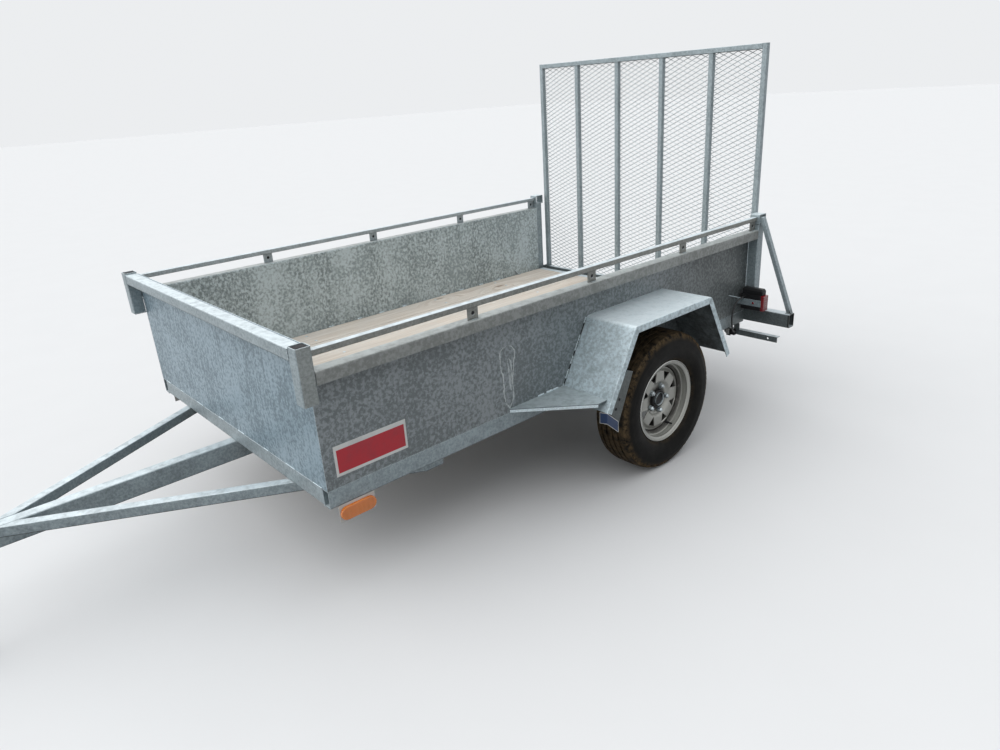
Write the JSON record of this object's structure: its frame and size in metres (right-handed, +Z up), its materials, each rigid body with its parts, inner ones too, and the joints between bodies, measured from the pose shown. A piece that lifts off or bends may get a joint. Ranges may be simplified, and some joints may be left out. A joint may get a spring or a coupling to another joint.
{
  "type": "utility trailer",
  "caption": "Galvanised single-axle utility trailer with a plank floor, sheet sides, flat fenders and a hinged mesh ramp gate.",
  "frame": {"origin": "on the ground at the middle of the trailer's whole length and width, parked level on its jack", "axes": "+Z up, -Y forwards to the coupler, +X to the trailer's left"},
  "size_m": [1.992, 3.901, 1.71],
  "materials": {
    "galvanised_tube": "dull hot-dip galvanised tube",
    "galvanised_sheet": "spangled galvanised sheet",
    "galvanised_mesh": "galvanised expanded metal",
    "jack_zinc": "bright zinc plate",
    "spring_steel": "satin black paint",
    "deck_wood": "weathered treated pine",
    "tyre_rubber": "matte",
    "wheel_silver": "satin silver",
    "hub_black": "satin black",
    "lamp_black": "matte",
    "lens_red": "gloss translucent",
    "lens_amber": "gloss translucent",
    "marker_white": "gloss white",
    "cap_black": "matte",
    "cable_black": "satin"
  },
  "bodies": {
    "chassis": {"axle": "galvanised_tube", "axle_clamps": "jack_zinc", "coupler": "jack_zinc", "coupler_latch": "jack_zinc", "cross_members": "galvanised_tube", "drawbar_sides": "galvanised_tube", "fender_left": "galvanised_sheet", "fender_right": "galvanised_sheet", "fender_steps": "galvanised_sheet", "floor_planks": "deck_wood", "front_panel": "galvanised_sheet", "front_posts": "galvanised_tube", "front_rail": "galvanised_tube", "gate_lugs": "galvanised_tube", "jack_bracket": "jack_zinc", "lamp_bars": "galvanised_tube", "lamp_leads": "cable_black", "lamp_straps": "galvanised_tube", "latch_blocks": "galvanised_tube", "leaf_springs": "spring_steel", "marker_brackets": "marker_white", "marker_lenses": "lens_amber", "post_caps": "cap_black", "rear_braces": "galvanised_tube", "rear_posts": "galvanised_tube", "rear_tube": "galvanised_tube", "side_panels": "galvanised_sheet", "side_rails": "galvanised_tube", "spring_hangers": "galvanised_tube", "tail_lamp_bodies": "lamp_black", "tail_lamp_boxes": "lamp_black", "tail_lamp_lenses": "lens_red", "tie_rails": "galvanised_tube", "tongue": "galvanised_tube"},
    "wheel_left": {"tyre_left": "tyre_rubber", "rim_left": "wheel_silver", "hub_left": "hub_black"},
    "wheel_right": {"tyre_right": "tyre_rubber", "rim_right": "wheel_silver", "hub_right": "hub_black"},
    "gate": {"gate_posts": "galvanised_tube", "gate_rails": "galvanised_tube", "gate_ribs": "galvanised_tube", "gate_mesh": "galvanised_mesh", "gate_pins": "jack_zinc"},
    "jack_housing": {"jack_housing": "jack_zinc"},
    "jack_leg": {"jack_leg": "jack_zinc"},
    "jack_crank": {"jack_crank": "jack_zinc"}
  },
  "joints": [
    {"name": "wheel_left_spin", "type": "hinge", "parent": "chassis", "child": "wheel_left", "pos_m": [0.877, 0.917, 0.303], "axis": [1, 0, 0], "continuous": true},
    {"name": "wheel_right_spin", "type": "hinge", "parent": "chassis", "child": "wheel_right", "pos_m": [-0.877, 0.917, 0.303], "axis": [1, 0, 0], "continuous": true},
    {"name": "gate_hinge", "type": "hinge", "parent": "chassis", "child": "gate", "pos_m": [0, 1.9345, 0.4625], "axis": [-1, 0, 0], "range_deg": [0, 110]},
    {"name": "jack_swivel", "type": "hinge", "parent": "chassis", "child": "jack_housing", "pos_m": [0.05, -1.56, 0.455], "axis": [-1, 0, 0], "range_deg": [0, 90]},
    {"name": "jack_slide", "type": "slide", "parent": "jack_housing", "child": "jack_leg", "axis": [0, 0, 1], "range_m": [0, 0.245]},
    {"name": "crank_turn", "type": "hinge", "parent": "jack_housing", "child": "jack_crank", "pos_m": [0.137, -1.56, 0.68], "axis": [1, 0, 0], "continuous": true}
  ]
}
